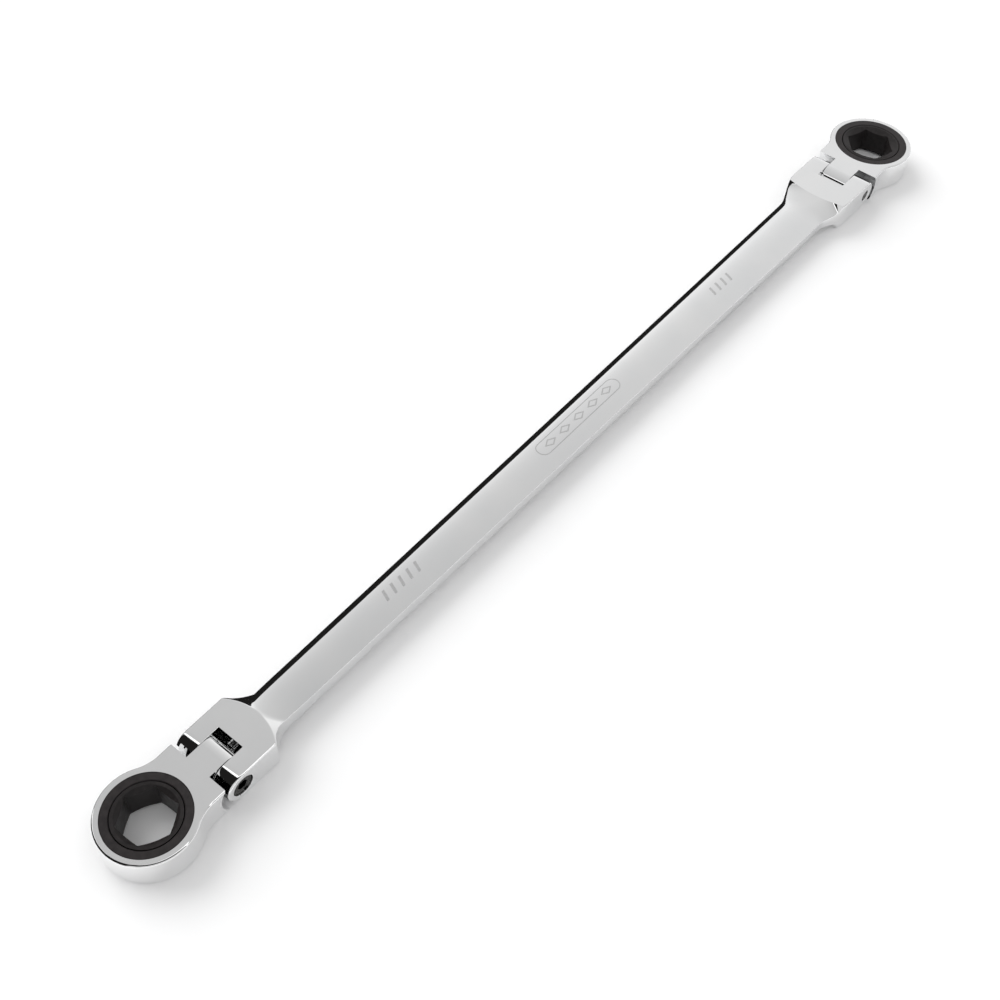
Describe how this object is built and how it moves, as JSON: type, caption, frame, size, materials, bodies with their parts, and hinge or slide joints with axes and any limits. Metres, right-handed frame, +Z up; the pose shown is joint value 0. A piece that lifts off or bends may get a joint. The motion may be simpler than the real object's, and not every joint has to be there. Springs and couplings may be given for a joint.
{
  "type": "ratchet wrench",
  "caption": "Long box-end ratcheting wrench with a flexing head at each end, hex sockets, fine-tooth gears and an oval chrome shank.",
  "frame": {"origin": "centre of the footprint, on the surface that the wrench lies on", "axes": "+X along the wrench towards the larger head, +Z up out of the surface, +Y to the left seen from the smaller head"},
  "size_m": [0.401, 0.0316, 0.0105],
  "materials": {
    "chrome_forging": "polished",
    "chrome_head": "polished",
    "black_oxide_gear": "satin black oxide",
    "black_oxide_ring": "satin black oxide",
    "pawl_steel": "machined",
    "spring_wire": "bright drawn wire",
    "spring_steel_ring": "stamped, deburred",
    "seal_rubber": "matt",
    "screw_steel": "blackened",
    "plunger_steel": "ground"
  },
  "bodies": {
    "handle": {"handle": "chrome_forging", "pivot_screw_a": "screw_steel", "pivot_screw_b": "screw_steel", "tension_plunger_a": "plunger_steel", "tension_plunger_b": "plunger_steel", "tension_spring_a": "spring_wire", "tension_spring_b": "spring_wire"},
    "head_a": {"head_a": "chrome_head", "pawl_spring_a": "spring_wire", "cover_ring_a": "black_oxide_ring", "snap_ring_a": "spring_steel_ring", "dust_seal_a": "seal_rubber"},
    "gear_a": {"gear_a": "black_oxide_gear"},
    "pawl_a": {"pawl_a": "pawl_steel"},
    "head_b": {"head_b": "chrome_head", "pawl_spring_b": "spring_wire", "cover_ring_b": "black_oxide_ring", "snap_ring_b": "spring_steel_ring", "dust_seal_b": "seal_rubber"},
    "gear_b": {"gear_b": "black_oxide_gear"},
    "pawl_b": {"pawl_b": "pawl_steel"}
  },
  "joints": [
    {"name": "head_a_flex", "type": "hinge", "parent": "handle", "child": "head_a", "pos_m": [-0.16367, 0, 0.00525], "axis": [0, 1, 0], "range_deg": [-90, 90]},
    {"name": "gear_a_spin", "type": "hinge", "parent": "head_a", "child": "gear_a", "pos_m": [-0.18652, 0, 0.00525], "axis": [0, 0, 1], "continuous": true},
    {"name": "pawl_a_slide", "type": "slide", "parent": "head_a", "child": "pawl_a", "axis": [1, 0, 0], "range_m": [0, 0.00075], "stiffness_N_per_m": 300, "springref_m": -0.002, "deforming": ["pawl_spring_a"]},
    {"name": "head_b_flex", "type": "hinge", "parent": "handle", "child": "head_b", "pos_m": [0.16082, 0, 0.00525], "axis": [0, 1, 0], "range_deg": [-90, 90]},
    {"name": "gear_b_spin", "type": "hinge", "parent": "head_b", "child": "gear_b", "pos_m": [0.18468, 0, 0.00525], "axis": [0, 0, 1], "continuous": true},
    {"name": "pawl_b_slide", "type": "slide", "parent": "head_b", "child": "pawl_b", "axis": [-1, 0, 0], "range_m": [0, 0.00075], "stiffness_N_per_m": 300, "springref_m": -0.002, "deforming": ["pawl_spring_b"]}
  ]
}
